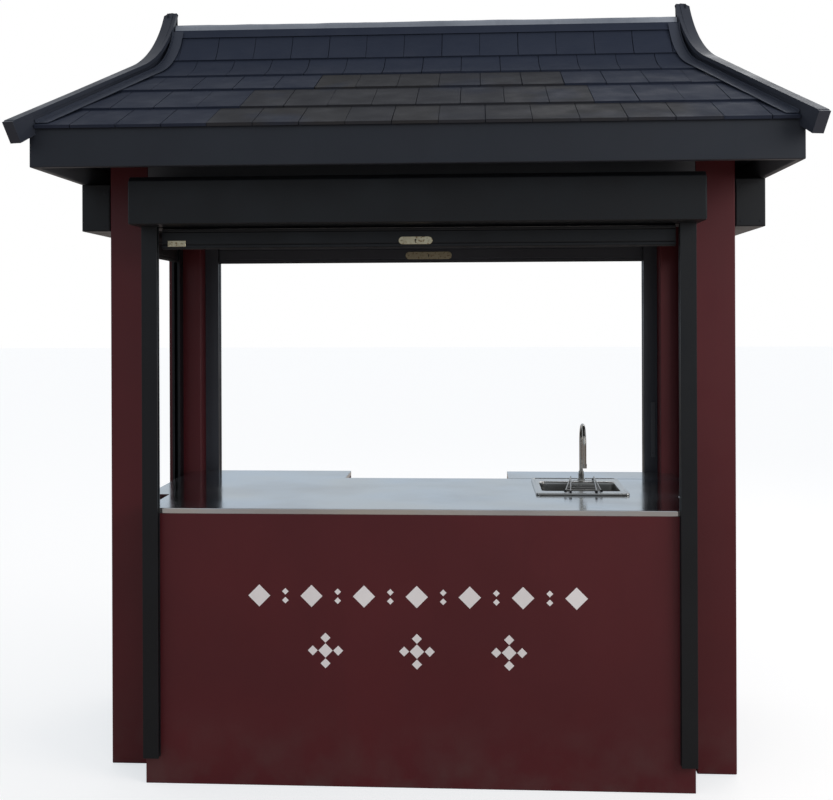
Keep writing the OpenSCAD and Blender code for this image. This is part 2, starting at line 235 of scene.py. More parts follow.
def paint(name, colour, dark, worn, rough=(0.38, 0.55), dusty=None, wear=0.35, grain=260, depth=0.00012):
    """Sprayed paint on metal: clouds, faint streaks, worn edges and dust near the ground."""
    n = Nodes(name)
    clouds = n.spread(n.noise(1.7, 4), 0.35, 0.7)
    base = n.mix(clouds, colour, dark)
    streaks = n.spread(n.noise(3.0, 5, (9, 9, 0.5)), 0.52, 0.78, 0.0, 0.35)
    base = n.mix(streaks, base, dark)
    rub = n.math("MULTIPLY", n.edges(0.003), n.spread(n.noise(30, 4), 0.42, 0.62, 0.0, wear))
    base = n.mix(rub, base, worn)
    if dusty is not None:
        low = n.spread(n.height(), 0.30, 0.0)
        dust = n.math("MULTIPLY", low, n.spread(n.noise(9, 5), 0.40, 0.75, 0.0, 0.55))
        base = n.mix(dust, base, dusty)
    n.link(base, n.shader.inputs["Base Color"])
    n.link(n.spread(n.noise(6, 5), 0.3, 0.7, *rough), n.shader.inputs["Roughness"])
    n.bump(n.noise(grain, 2), depth)
    n.set("Specular IOR Level", 0.3)
    return n.material


def tile(name, colour, pale, dry):
    """Composite roof tiles: each with a tone from 0 to 3, its own random tone plus painted light that rises
    course by course, fine grain across, and paler patches of painted sunlight.
    """
    n = Nodes(name)
    tone = n.tree.nodes.new("ShaderNodeAttribute")
    tone.attribute_name = "tone"
    base = n.mix(n.spread(tone.outputs["Fac"], 0.0, 3.0, 0.0, 0.9), colour, pale)
    grain = n.noise(28, 5, (0.6, 6, 6), 0.6)
    base = n.mix(n.spread(grain, 0.40, 0.75, 0.0, 0.5), base, pale)
    sun_patch = n.tree.nodes.new("ShaderNodeAttribute")
    sun_patch.attribute_name = "dry"
    sun_mask = n.math("MULTIPLY", sun_patch.outputs["Fac"], n.spread(n.noise(2.4, 2), 0.30, 0.45))
    base = n.mix(sun_mask, base, dry)
    rub = n.math("MULTIPLY", n.edges(0.003), n.spread(n.noise(24, 4), 0.4, 0.7, 0.0, 0.35))
    base = n.mix(rub, base, pale)
    n.link(base, n.shader.inputs["Base Color"])
    n.link(n.spread(n.noise(9, 4), 0.3, 0.7, 0.55, 0.8), n.shader.inputs["Roughness"])
    n.bump(grain, 0.0009)
    n.set("Specular IOR Level", 0.12)
    return n.material


def brushed(name, colour, stretch, rough, depth=0.00004, painted_reflections=()):
    """Brushed stainless steel, with the brushing along the axis that has the small stretch, and soft patches of
    painted reflection where given.
    """
    n = Nodes(name)
    lines = n.noise(60, 6, stretch, 0.65)
    smears = n.noise(3.2, 5)
    base = n.mix(n.spread(lines, 0.35, 0.7), colour, tuple(0.86 * c for c in colour))
    base = n.mix(n.spread(smears, 0.5, 0.75, 0.0, 0.3), base, tuple(0.8 * c for c in colour))
    # Painted reflections: soft patches of other tones, standing in for surroundings mirrored in the steel
    for scale, reflection_tint in painted_reflections:
        base = n.mix(n.spread(n.noise(scale, 2), 0.45, 0.65, 0.0, 0.6), base, reflection_tint)
    n.link(base, n.shader.inputs["Base Color"])
    n.link(n.spread(smears, 0.3, 0.7, *rough), n.shader.inputs["Roughness"])
    n.bump(lines, depth)
    n.set("Metallic", 1.0)
    return n.material


def metal(name, colour, rough, stain=None):
    """Plated or cast metal with handling marks, and stains if it has them."""
    n = Nodes(name)
    marks = n.noise(45, 5)
    base = n.mix(n.spread(marks, 0.45, 0.7, 0.0, 0.5), colour, tuple(0.75 * c for c in colour))
    if stain is not None:
        base = n.mix(n.spread(n.noise(120, 4), 0.56, 0.66, 0.0, 0.8), base, stain)
    n.link(base, n.shader.inputs["Base Color"])
    n.link(n.spread(marks, 0.3, 0.7, rough, rough + 0.18), n.shader.inputs["Roughness"])
    n.set("Metallic", 1.0)
    return n.material


def rubber(name, colour):
    """Matt rubber, greyer in patches."""
    n = Nodes(name)
    n.link(n.mix(n.spread(n.noise(30, 4), 0.4, 0.7), colour, tuple(2.2 * c for c in colour)),
           n.shader.inputs["Base Color"])
    n.set("Roughness", 0.8)
    n.bump(n.noise(400, 2), 0.0001)
    return n.material


DUST = srgb(84, 62, 60)
LOOKS = {
    "maroon_paint": paint("maroon_paint", srgb(84, 26, 31), srgb(76, 23, 28), srgb(110, 66, 66), dusty=DUST),
    # The worktop's warm and grey patches are painted reflections
    "worktop_steel": brushed("worktop_steel", (0.62, 0.66, 0.70), (0.4, 9, 9), (0.07, 0.2),
                             painted_reflections=((2.1, (0.66, 0.62, 0.55)), (2.9, (0.50, 0.48, 0.46)))),
    "rack_wire": metal("rack_wire", (0.46, 0.45, 0.43), 0.25),
    "chrome": metal("chrome", (0.42, 0.40, 0.36), 0.1),
    "shutter_black": paint("shutter_black", srgb(14, 17, 21), srgb(11, 13, 17), srgb(48, 52, 58),
                           rough=(0.35, 0.5)),
    "lock_brass": metal("lock_brass", srgb(184, 175, 148), 0.3, stain=srgb(112, 78, 44)),
    "strap_grey": paint("strap_grey", srgb(84, 86, 90), srgb(70, 72, 76), srgb(130, 130, 134)),
    # Painted light: the soffit's paint is much paler than its black, standing in for light thrown up under the
    # eaves; the fascia's inner faces get it too
    "soffit_black": paint("soffit_black", srgb(100, 104, 110), srgb(90, 94, 100), srgb(124, 128, 134),
                          rough=(0.6, 0.8)),
    "fascia_slate": paint("fascia_slate", srgb(34, 38, 46), srgb(29, 33, 41), srgb(70, 75, 84)),
    # The third colour is the tiles' tone under the painted sunlight
    "roof_tile": tile("roof_tile", srgb(37, 42, 56), srgb(48, 54, 68), srgb(50, 49, 49)),
    # Painted light: the flashing's paint is paler than the hip boards' slate, standing in for light on the
    # strips beside the boards
    "flashing": paint("flashing", srgb(56, 61, 73), srgb(50, 55, 67), srgb(98, 104, 116), rough=(0.4, 0.55)),
    "hip_slate": paint("hip_slate", srgb(47, 51, 61), srgb(40, 44, 54), srgb(92, 97, 108)),
}
# The back shutter's bar and rails: their front faces get this paler paint, painted light standing in for light
# reaching them under the roof
LIT_BACK_FACES = paint("sheltered_black", srgb(62, 64, 70), srgb(54, 56, 62), srgb(84, 87, 92), rough=(0.4, 0.55))
RUBBER = rubber("seal_rubber", srgb(22, 22, 24))
# Near-black: painted shade in the keyholes, screw slots, strainer holes and aerator, and the worktop joint's
# own dark gap
HOLE_SHADE_AND_JOINT = rubber("dark_gap", srgb(10, 10, 11))
WHITE_PAINT = paint("white_paint", srgb(244, 238, 236), srgb(230, 224, 222), srgb(170, 140, 138), wear=0.6)
# The ridge's pale grey is painted sky reflection on its rounded top; its clouds, streaks and worn edges are
# wear
RIDGE_SKY_SHEEN = paint("ridge_grey", srgb(150, 154, 162), srgb(104, 110, 120), srgb(190, 194, 200),
                   rough=(0.5, 0.8), grain=90, depth=0.0012)
SINK_STEEL = brushed("sink_steel", (0.60, 0.59, 0.57), (9, 0.5, 9), (0.16, 0.34))
# Painted shade: the bowl's inside is a darker copy of the rim's steel
SHADED_BOWL_STEEL = brushed("bowl_steel", (0.34, 0.33, 0.31), (9, 0.5, 9), (0.22, 0.4))


# ---- shapes ----

def sweep(bm, rings, caps=True, loop=False):
    """Joins a row of equal rings of points into a skin, closed at its ends. Returns the faces."""
    rows = [[bm.verts.new(p) for p in ring] for ring in rings]
    pairs = list(zip(rows, rows[1:])) + ([(rows[-1], rows[0])] if loop else [])
    faces = []
    for low, high in pairs:
        for i in range(len(low)):
            k = (i + 1) % len(low)
            faces.append(bm.faces.new((low[i], low[k], high[k], high[i])))
    if caps and not loop:
        faces.append(bm.faces.new(rows[0][::-1]))
        faces.append(bm.faces.new(rows[-1]))
    return faces


def box(bm, low, high):
    """A plain block between two corners."""
    (x0, y0, z0), (x1, y1, z1) = low, high
    return sweep(bm, [[(x0, y0, z), (x1, y0, z), (x1, y1, z), (x0, y1, z)] for z in (z0, z1)])


def prism(bm, outline, axis, start, end):
    """An outline of two coordinates, taken in XYZ order without the axis, drawn out along it."""
    turn = "xyz".index(axis)
    return sweep(bm, [[(*p[:turn], t, *p[turn:]) for p in outline] for t in (start, end)])


def tube(bm, points, radius, sides=12, loop=False):
    """A round wire through the points, with mitred bends."""
    points = [Vector(p) for p in points]
    count = len(points)
    rings = []
    side = None
    for i, p in enumerate(points):
        before = points[i - 1] if (i or loop) else p
        after = points[(i + 1) % count] if (i < count - 1 or loop) else p
        tangent = (after - before).normalized()
        if side is None:
            side = tangent.orthogonal().normalized()
        side = (side - tangent * side.dot(tangent)).normalized()
        other = tangent.cross(side)
        rings.append([p + radius * (math.cos(a) * side + math.sin(a) * other)
                      for a in (2 * math.pi * k / sides for k in range(sides))])
    return sweep(bm, rings, loop=loop)


def disc(bm, centre, axis, radius, thickness, sides=24):
    """A short round bar that starts at the centre and runs along the axis."""
    axis = Vector(axis).normalized()
    centre = Vector(centre)
    side = axis.orthogonal().normalized()
    other = axis.cross(side)
    circle = [radius * (math.cos(a) * side + math.sin(a) * other)
              for a in (2 * math.pi * k / sides for k in range(sides))]
    return sweep(bm, [[centre + c for c in circle], [centre + c + axis * thickness for c in circle]])


def flat_circle(centre, radius, count):
    """Points round a level circle."""
    return [centre + Vector((radius * math.cos(a), radius * math.sin(a), 0))
            for a in (2 * math.pi * k / count for k in range(count))]


def applied(obj):
    """Turns an object's modifiers into its mesh."""
    mesh = bpy.data.meshes.new_from_object(obj.evaluated_get(bpy.context.evaluated_depsgraph_get()))
    obj.modifiers.clear()
    obj.data = mesh


def finish_piece(obj, slot, body, look, ease, segments):
    """Eases the piece's edges, shades it and fixes it to its body."""
    if ease:
        bevel = obj.modifiers.new("ease", "BEVEL")
        bevel.width = ease
        bevel.segments = segments
        bevel.limit_method = "ANGLE"
        bevel.angle_limit = math.radians(28)
    for face in obj.data.polygons:
        face.use_smooth = True
    obj.data.set_sharp_from_angle(angle=math.radians(32))
    weighted = obj.modifiers.new("weighted", "WEIGHTED_NORMAL")
    weighted.keep_sharp = True
    applied(obj)
    obj.data.materials.clear()
    obj.data.materials.append(look or LOOKS[slot])
    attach(obj, body)
    return obj


def piece(name, bm, slot, body=BODY, look=None, ease=0.0, segments=2):
    """Makes a named piece from the mesh."""
    bmesh.ops.recalc_face_normals(bm, faces=bm.faces)
    mesh = bpy.data.meshes.new(name)
    bm.to_mesh(mesh)
    bm.free()
    obj = bpy.data.objects.new(name, mesh)
    bpy.context.scene.collection.objects.link(obj)
    return finish_piece(obj, slot, body, look, ease, segments)


def eased(node, ease, segments=2):
    """A copy of a CAD node with its edges eased, which stands for it."""
    mesh = frame["nodes"][node].data.copy()
    bm = bmesh.new()
    bm.from_mesh(mesh)
    bmesh.ops.remove_doubles(bm, verts=bm.verts, dist=1e-5)
    bmesh.ops.dissolve_limit(bm, angle_limit=math.radians(0.3), verts=bm.verts, edges=bm.edges)
    obj = piece(node + "_eased", bm, SLOT_OF[node], ease=ease, segments=segments)
    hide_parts(node)
    return obj


def second_look(obj, look, chosen):
    """Gives the chosen faces of a piece another look."""
    obj.data.materials.append(look)
    for face in obj.data.polygons:
        face.material_index = int(chosen(face))


def faces_front(face):
    """True where a face looks towards -Y."""
    return face.normal.y < -0.5


def faces_inwards(face):
    """True where an upright face looks towards the kiosk's middle."""
    return face.normal.x * face.center.x + face.normal.y * face.center.y < -0.1


# ---- posts, counter and housings ----

EASES = {
    4.0 * MM: ["post_front_left", "post_front_right", "post_back_left", "post_back_right"],
    2.0 * MM: ["front_panel", "side_panel_left", "side_panel_right", "back_panel_left", "back_panel_right",
               "recess_panel", "worktop", "head_beams", "soffit"],
    3.0 * MM: ["shutter_housing_front", "shutter_housing_back", "shutter_housing_left",
               "shutter_housing_right", "fascia", "hip_board_front_left", "hip_board_front_right",
               "hip_board_back_left", "hip_board_back_right"],
    0.8 * MM: ["lock_plates", "lock_strap"],
}


def ease_nodes():
    """Stands eased copies in for the flat-sided nodes."""
    for ease, nodes in EASES.items():
        for node in nodes:
            obj = eased(node, ease)
            if node == "fascia":
                # Painted light: the fascia's inner faces get the soffit's pale paint, standing in for light
                # under the eaves
                second_look(obj, LOOKS["soffit_black"], faces_inwards)


def housing_end_plates():
    """A thin plate closes each end of a housing, held by four screws near its corners."""
    plate, inset, screw, head = 2.5 * MM, 5 * MM, 4 * MM, 1.5 * MM
    for where, axis in (("front", 0), ("back", 0), ("left", 1), ("right", 1)):
        low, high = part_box("shutter_housing_" + where)
        bm = bmesh.new()
        for side in SIDES:
            end = (low, high)[side > 0][axis]
            a, b = low.copy(), high.copy()
            a[axis], b[axis] = sorted((end, end + side * plate))
            for k in (1 - axis, 2):
                a[k] += inset
                b[k] -= inset
            b.z -= 3 * inset
            box(bm, a, b)
            for k in (a, b):
                for z in (a.z + 3 * inset, b.z - 3 * inset):
                    spot = Vector((k.x, k.y, z))
                    spot[axis] = end
                    spot[1 - axis] += 3 * inset if k is a else -3 * inset
                    out = Vector((0, 0, 0))
                    out[axis] = side
                    disc(bm, spot + out * plate, out, screw, head)
        piece(f"housing_end_plates_{where}", bm, "shutter_black", ease=0.5 * MM, segments=1)


# ---- shutters ----

RAIL_WIDTH = {"front": 57 * MM, "back": 60 * MM, "left": 60 * MM, "right": 60 * MM}


def guide_rail(bm, low, high, axis, mouth):
    """A C-shaped channel upright in the given box, open along the axis towards the mouth side."""
    lip, wall, gap = 5 * MM, 4 * MM, 14 * MM
    width = high[axis] - low[axis]
    depth = high[1 - axis] - low[1 - axis]
    mid = depth / 2
    outline = [
        (0, 0), (width, 0), (width, mid - gap / 2), (width - lip, mid - gap / 2), (width - lip, wall),
        (2 * wall, wall), (2 * wall, depth - wall), (width - lip, depth - wall),
        (width - lip, mid + gap / 2), (width, mid + gap / 2), (width, depth), (0, depth),
    ]
    start = low[axis] if mouth > 0 else high[axis]
    points = []
    for u, v in outline:
        along, across = start + mouth * u, low[1 - axis] + v
        points.append((along, across) if axis == 0 else (across, along))
    prism(bm, points, "z", low.z, high.z)


def guide_rails():
    """A pair of channels for each shutter, with their mouths facing each other."""
    for where, width in RAIL_WIDTH.items():
        node = "shutter_rails_" + where
        axis = 0 if where in ("front", "back") else 1
        low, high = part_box(node)
        bm = bmesh.new()
        for side in SIDES:
            a, b = low.copy(), high.copy()
            if side < 0:
                b[axis] = a[axis] + width
            else:
                a[axis] = b[axis] - width
            guide_rail(bm, a, b, axis, -side)
        rails = piece(node + "_channels", bm, SLOT_OF[node], ease=0.8 * MM)
        if where == "back":
            # Painted light: the rails' front faces get a paler paint than the shutter's black
            second_look(rails, LIT_BACK_FACES, faces_front)
        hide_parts(node)


def bar_outline(thick, tall):
    """Section of a bottom bar: flat faces with two shallow grooves, over a narrow foot."""
    half, groove, foot = thick / 2, 1.5 * MM, 5 * MM
    right = [(half - 3 * MM, foot), (half, foot)]
    for z in (14 * MM, tall - 12 * MM):
        right += [(half, z), (half - groove, z + groove)]
        right += [(half - groove, z + 2 * groove), (half, z + 3 * groove)]
    right += [(half, tall)]
    return right + [(-a, z) for a, z in right[::-1]]


def slat_outline(thick, tall):
    """Section of one curtain slat: two bowed faces."""
    steps, flat, sheet = 6, 0.35, 0.55
    bow = [(math.sin(math.pi * k / steps), tall * k / steps) for k in range(steps + 1)]
    outer = [(thick / 2 * (flat + (1 - flat) * s), z) for s, z in bow]
    return outer + [(a - thick * sheet, z) for a, z in outer[::-1]]


def shutters():
    """Each shutter's end: a bottom bar with its seal, and the slats above it."""
    bar_tall, pitch, gap = 72 * MM, 38 * MM, 1.5 * MM
    seal_foot, seal_top, seal_tall = 4 * MM, 6 * MM, 5.2 * MM
    for where in ("front", "back", "left", "right"):
        node = "shutter_bar_" + where
        axis = 0 if where in ("front", "back") else 1
        low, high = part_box(node)
        centre = (low[1 - axis] + high[1 - axis]) / 2
        thick = high[1 - axis] - low[1 - axis]
        ends = (low[axis], high[axis])
        name = "xy"[axis]
        bm = bmesh.new()
        prism(bm, [(centre + a, low.z + z) for a, z in bar_outline(thick, bar_tall)], name, *ends)
        bar = piece(node + "_profile", bm, SLOT_OF[node], ease=0.6 * MM, segments=1)
        if where == "back":
            # Painted light: the bar's front faces get a paler paint than the shutter's black
            second_look(bar, LIT_BACK_FACES, faces_front)
        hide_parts(node)
        bm = bmesh.new()
        z = low.z + bar_tall + gap
        while z + pitch < high.z + gap:
            prism(bm, [(centre + a, z + b) for a, b in slat_outline(thick * 0.6, pitch - gap)], name, *ends)
            z += pitch
        piece(f"shutter_slats_{where}", bm, SLOT_OF[node])
        bm = bmesh.new()
        prism(bm, [(centre - seal_foot, low.z), (centre + seal_foot, low.z),
                   (centre + seal_top, low.z + seal_tall), (centre - seal_top, low.z + seal_tall)], name, *ends)
        piece(f"shutter_seal_{where}", bm, SLOT_OF[node], look=RUBBER, ease=1 * MM)


PLATE_THICK = 4 * MM
# Each plate's bar, middle along X, height above the bar's foot, reach to its screws, and keyhole or not
LOCK_PLATES = [
    ("front", 0, 26 * MM, 48 * MM, True),
    ("front", -870 * MM, 20 * MM, 24 * MM, False),
    ("back", 0, 32 * MM, 92 * MM, True),
]


def lock_details():
    """Slotted screws at the plates' ends, and keyholes in the middle."""
    screws, holes = bmesh.new(), bmesh.new()
    out = Vector((0, -1, 0))
    for where, x, up, reach, has_key in LOCK_PLATES:
        bar_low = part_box("shutter_bar_" + where)[0]
        centre = Vector((x, bar_low.y - PLATE_THICK, bar_low.z + up))
        for side in SIDES:
            spot = centre + Vector((side * reach, 0, 0))
            disc(screws, spot, out, 4.2 * MM, 1.4 * MM)
            box(holes, spot + Vector((-3.4, -1.6, -0.5)) * MM, spot + Vector((3.4, -1.3, 0.5)) * MM)
        if has_key:
            disc(holes, centre + Vector((0, 0, 2 * MM)), out, 3.2 * MM, 0.4 * MM)
            box(holes, centre + Vector((-1.4, -0.4, -8)) * MM, centre + Vector((1.4, 0, 1)) * MM)
    piece("lock_plate_screws", screws, "lock_brass", ease=0.4 * MM)
    # Painted shade: dark blocks stand for the insides of the keyholes and screw slots
    piece("lock_plate_keyholes", holes, "lock_brass", look=HOLE_SHADE_AND_JOINT)


# ---- worktop, sink, tap and rack ----

# The sink's rim from its outer edge to the bowl: left, right, front and back
SINK_EDGES = (30 * MM, 26 * MM, 76 * MM, 98 * MM)
BOWL_DEPTH = 160 * MM


def rounded_loop(x0, x1, y0, y1, radius, z, steps=6):
    """Points round a rectangle with round corners, anticlockwise from the lower right corner."""
    points = []
    corners = ((x1 - radius, y0 + radius, -90), (x1 - radius, y1 - radius, 0),
               (x0 + radius, y1 - radius, 90), (x0 + radius, y0 + radius, 180))
    for cx, cy, first in corners:
        for k in range(steps + 1):
            a = math.radians(first + 90 * k / steps)
            points.append((cx + radius * math.cos(a), cy + radius * math.sin(a), z))
    return points


def bowl_box():
    """The bowl's opening: left, right, front and back."""
    low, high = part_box("sink")
    left, right, front, back = SINK_EDGES
    return low.x + left, high.x - right, low.y + front, high.y - back


def sink():
    """A pressed rim and bowl in thin sheet, with a strainer in its waste."""
    low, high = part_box("sink")
    rim, top = high.z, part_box("worktop")[1].z
    floor = top - BOWL_DEPTH
    x0, x1, y0, y1 = bowl_box()
    outer = (low.x, high.x, low.y, high.y)

    def loop(edges, inset, radius, z):
        a, b, c, d = edges
        return rounded_loop(a + inset, b - inset, c + inset, d - inset, radius, z)

    bowl = (x0, x1, y0, y1)
    cx, cy, waste = (x0 + x1) / 2, (y0 + y1) / 2, 45 * MM
    drain = (cx - waste, cx + waste, cy - waste, cy + waste)
    rings = [
        loop(outer, 0, 12 * MM, top + 0.2 * MM), loop(outer, 0, 12 * MM, rim - 2 * MM),
        loop(outer, 0.7 * MM, 12 * MM, rim - 0.7 * MM), loop(outer, 2 * MM, 11 * MM, rim),
        loop(outer, 9 * MM, 9 * MM, rim), loop(outer, 11 * MM, 8 * MM, rim - 1.6 * MM),
        loop(bowl, -12 * MM, 30 * MM, rim - 1.6 * MM), loop(bowl, -7 * MM, 28 * MM, rim - 2.6 * MM),
        loop(bowl, -2 * MM, 26 * MM, rim - 6 * MM), loop(bowl, 0, 25 * MM, rim - 14 * MM),
        loop(bowl, 4 * MM, 25 * MM, floor + 30 * MM), loop(bowl, 8 * MM, 24 * MM, floor + 14 * MM),
        loop(bowl, 18 * MM, 22 * MM, floor + 5 * MM), loop(bowl, 30 * MM, 20 * MM, floor + 3 * MM),
        loop(drain, 0, waste, floor + 1 * MM), loop(drain, 2 * MM, waste - 2 * MM, floor - 2 * MM),
        loop(drain, 6 * MM, waste - 6 * MM, floor - 4 * MM),
    ]
    bm = bmesh.new()
    sweep(bm, rings, caps=False)
    obj = piece("sink_pressed", bm, "worktop_steel", look=SINK_STEEL)
    # Painted shade: the faces inside the bowl get the darker steel
    second_look(obj, SHADED_BOWL_STEEL, lambda face: (
        face.center.z < rim - 4 * MM and x0 - 1 * MM < face.center.x < x1 + 1 * MM))
    thick = obj.modifiers.new("sheet", "SOLIDIFY")
    thick.thickness = 1.0 * MM
    thick.offset = -1
    applied(obj)
    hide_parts("sink")
    sink_strainer(Vector((cx, cy, floor - 5 * MM)), waste - 5 * MM)


def sink_strainer(centre, radius):
    """A round plate with three rings of holes and a knob."""
    up = Vector((0, 0, 1))
    strainer, holes = bmesh.new(), bmesh.new()
    disc(strainer, centre, up, radius, 1.5 * MM, sides=40)
    disc(strainer, centre, up, 7 * MM, 7 * MM)
    for ring, count in ((15 * MM, 8), (25 * MM, 12), (33 * MM, 16)):
        for spot in flat_circle(centre + 1.3 * MM * up, ring, count):
            disc(holes, spot, up, 2.4 * MM, 0.5 * MM, sides=12)
    piece("sink_strainer", strainer, "chrome", ease=0.6 * MM)
    # Painted shade: dark discs stand for the holes
    piece("sink_strainer_holes", holes, "chrome", look=HOLE_SHADE_AND_JOINT)


def worktop_seam():
    """The sheet's joint runs from the recess's right-hand corner to the right-hand side."""
    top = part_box("worktop")[1].z
    half = 0.8 * MM
    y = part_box("recess_panel")[0].y + 40 * MM
    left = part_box("back_panel_right")[0].x
    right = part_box("side_panel_right")[1].x - 3 * MM
    bm = bmesh.new()
    box(bm, (left, y - half, top - 0.3 * MM), (right, y + half, top + 0.35 * MM))
    piece("worktop_seam", bm, "worktop_steel", look=HOLE_SHADE_AND_JOINT)


def tap_details():
    """A ring round the tap's base, and the nozzle's grip rings and aerator."""
    low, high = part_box("tap_base")
    base = Vector(((low.x + high.x) / 2, (low.y + high.y) / 2, high.z - 6 * MM))
    bm = bmesh.new()
    tube(bm, flat_circle(base, 12.4 * MM, 32), 0.9 * MM, 8, loop=True)
    piece("tap_base_ring", bm, "chrome")
    # The nozzle is the spout's front end, and ends above its collar
    spout_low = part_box("tap_spout")[0]
    nozzle = Vector((base.x, spout_low.y + 9 * MM, spout_low.z + 40.5 * MM))
    bm = bmesh.new()
    for step in range(4):
        spot = nozzle + Vector((0, 0, 3 + 4 * step)) * MM
        tube(bm, flat_circle(spot, 9.1 * MM, 28), 0.6 * MM, 6, loop=True)
    piece("tap_nozzle_rings", bm, "chrome", body="spout")
    bm = bmesh.new()
    # Painted shade: a dark disc stands for the aerator's opening
    disc(bm, nozzle, (0, 0, -1), 6 * MM, 0.3 * MM)
    piece("tap_aerator", bm, "chrome", body="spout", look=HOLE_SHADE_AND_JOINT)


def dish_rack():
    """Two side frames of twin wires, raised at the back, joined by thin cross wires on small rubber feet."""
    low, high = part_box("dish_rack")
    foot = low.z + 3 * MM
    wire, thin = 2.4 * MM, 1.1 * MM
    back = high.y - 4 * MM
    bm, feet = bmesh.new(), bmesh.new()
    # Each frame's outer foot, inner front end and raised back bend
    frames = [
        ((low.x - 14 * MM, low.y - 22 * MM, foot), (low.x + 5 * MM, low.y - 42 * MM, foot),
         (low.x + 30 * MM, back - 30 * MM, high.z - 25 * MM)),
        ((high.x, low.y - 18 * MM, foot), (high.x - 22 * MM, low.y - 44 * MM, foot + 8 * MM),
         (high.x - 1 * MM, back - 28 * MM, high.z - 25 * MM)),
    ]
    frames = [[Vector(p) for p in frame_points] for frame_points in frames]
    for outer, inner, bend in frames:
        last = Vector((bend.x, back, foot))
        before = bend - (bend - outer) * 0.06 - Vector((0, 0, 1 * MM))
        tube(bm, [outer, before, bend, (bend + last) / 2, last], wire)
        tube(bm, [inner, bend - Vector((0, 0, 3 * MM))], wire)
        for share in (0.02, 0.16, 0.32, 0.50, 0.70):
            tube(bm, [outer.lerp(bend, share), inner.lerp(bend, share)], thin, 8)
        for spot in (outer, inner, last):
            disc(feet, (spot.x, spot.y, low.z + 0.2 * MM), (0, 0, 1), 5 * MM, 9 * MM, sides=16)
    for share in (0.0, 0.22, 0.44, 0.66, 0.88):
        row = [Vector((p.x, p.y, foot + 6 * MM)) for p in (f[0].lerp(f[2], share) for f in frames)]
        tube(bm, row, thin, 8)
    rack = piece("dish_rack_wires", bm, "rack_wire")
    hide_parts("dish_rack")
    piece("dish_rack_feet", feet, "rack_wire", look=RUBBER, ease=0.8 * MM)


# ---- roof ----

# The slopes' pitch, the steep pitch that an arc of radius UPTURN ends at, and half the gap at the ridge
ROOF_SLOPE = math.radians(24.5)
RIDGE_SLOPE = math.radians(78)
UPTURN = 316 * MM
RIDGE_HALF = 22 * MM
TILE_WIDTH = 155 * MM
# Each course's lower edge, as a share of the slope's length from the eave
COURSES = (0.0, 0.195, 0.449, 0.668, 0.845, 0.965, 1.0)
# How far a course reaches past the eave, and up under the next one
EAVE_LAP = 0.012
COURSE_LAP = 0.02
# Painted sunlight on the front slope: a paler patch on the listed courses, given by each course's middle and
# reach along the eave
SUN_PATCH = {0: (0.17, 0.80), 1: (0.08, 0.62), 2: (0.10, 0.42)}
# Painted light: how much paler each course is than the one below it, standing in for more sky light on the
# steeper courses towards the ridge
PAINTED_LIGHT_RISE = 0.35
# The hip boards: reach past the eave's corner, height above it, distance to the bend, and thickness
HIP_OVER = 118 * MM
HIP_ABOVE = 52 * MM
HIP_BEND = 700 * MM
HIP_THICK = 40 * MM

EAVE_X, EAVE_Y, EAVE_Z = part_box("fascia")[1]
RIDGE_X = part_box("ridge_cap")[1].x
HIP_DX = EAVE_X - RIDGE_X
HIP_RUN = math.hypot(HIP_DX, EAVE_Y)
ARC_RUN = UPTURN * (math.sin(RIDGE_SLOPE) - math.sin(ROOF_SLOPE))
STRAIGHT_RUN = EAVE_Y - RIDGE_HALF - ARC_RUN
STRAIGHT_LENGTH = STRAIGHT_RUN / math.cos(ROOF_SLOPE)
SLOPE_LENGTH = STRAIGHT_LENGTH + UPTURN * (RIDGE_SLOPE - ROOF_SLOPE)


def slope_at(share):
    """Run from the eave, rise above it and pitch, at a share of the slope's length."""
    s = share * SLOPE_LENGTH
    if s <= STRAIGHT_LENGTH:
        return s * math.cos(ROOF_SLOPE), s * math.sin(ROOF_SLOPE), ROOF_SLOPE
    pitch = ROOF_SLOPE + (s - STRAIGHT_LENGTH) / UPTURN
    return (STRAIGHT_RUN + UPTURN * (math.sin(pitch) - math.sin(ROOF_SLOPE)),
            STRAIGHT_RUN * math.tan(ROOF_SLOPE) + UPTURN * (math.cos(ROOF_SLOPE) - math.cos(pitch)), pitch)


class Slope:
    """One side of the roof. Points are given by share up the slope, place along the eave and lift."""

    def __init__(self, name, facing):
        self.name, self.facing = name, facing
        self.long = name in ("front", "back")
        self.squeeze = 1.0 if self.long else HIP_DX / EAVE_Y

    def at(self, share, along, lift):
        run, rise, pitch = slope_at(share)
        fall = math.atan2(math.sin(pitch), math.cos(pitch) * self.squeeze)
        out = (EAVE_Y if self.long else EAVE_X) - run * self.squeeze + lift * math.sin(fall)
        z = EAVE_Z + rise + lift * math.cos(fall)
        return Vector((along, self.facing * out, z)) if self.long else Vector((self.facing * out, along, z))

    def half(self, share):
        """Half the clear width between the hip boards."""
        run = slope_at(share)[0]
        if self.long:
            return EAVE_X - run * HIP_DX / EAVE_Y - HIP_THICK / 2 * HIP_RUN / EAVE_Y
        return max(EAVE_Y - run - HIP_THICK / 2 * HIP_RUN / HIP_DX, 0.0)


SLOPES = [Slope("front", -1), Slope("back", 1), Slope("left", -1), Slope("right", 1)]


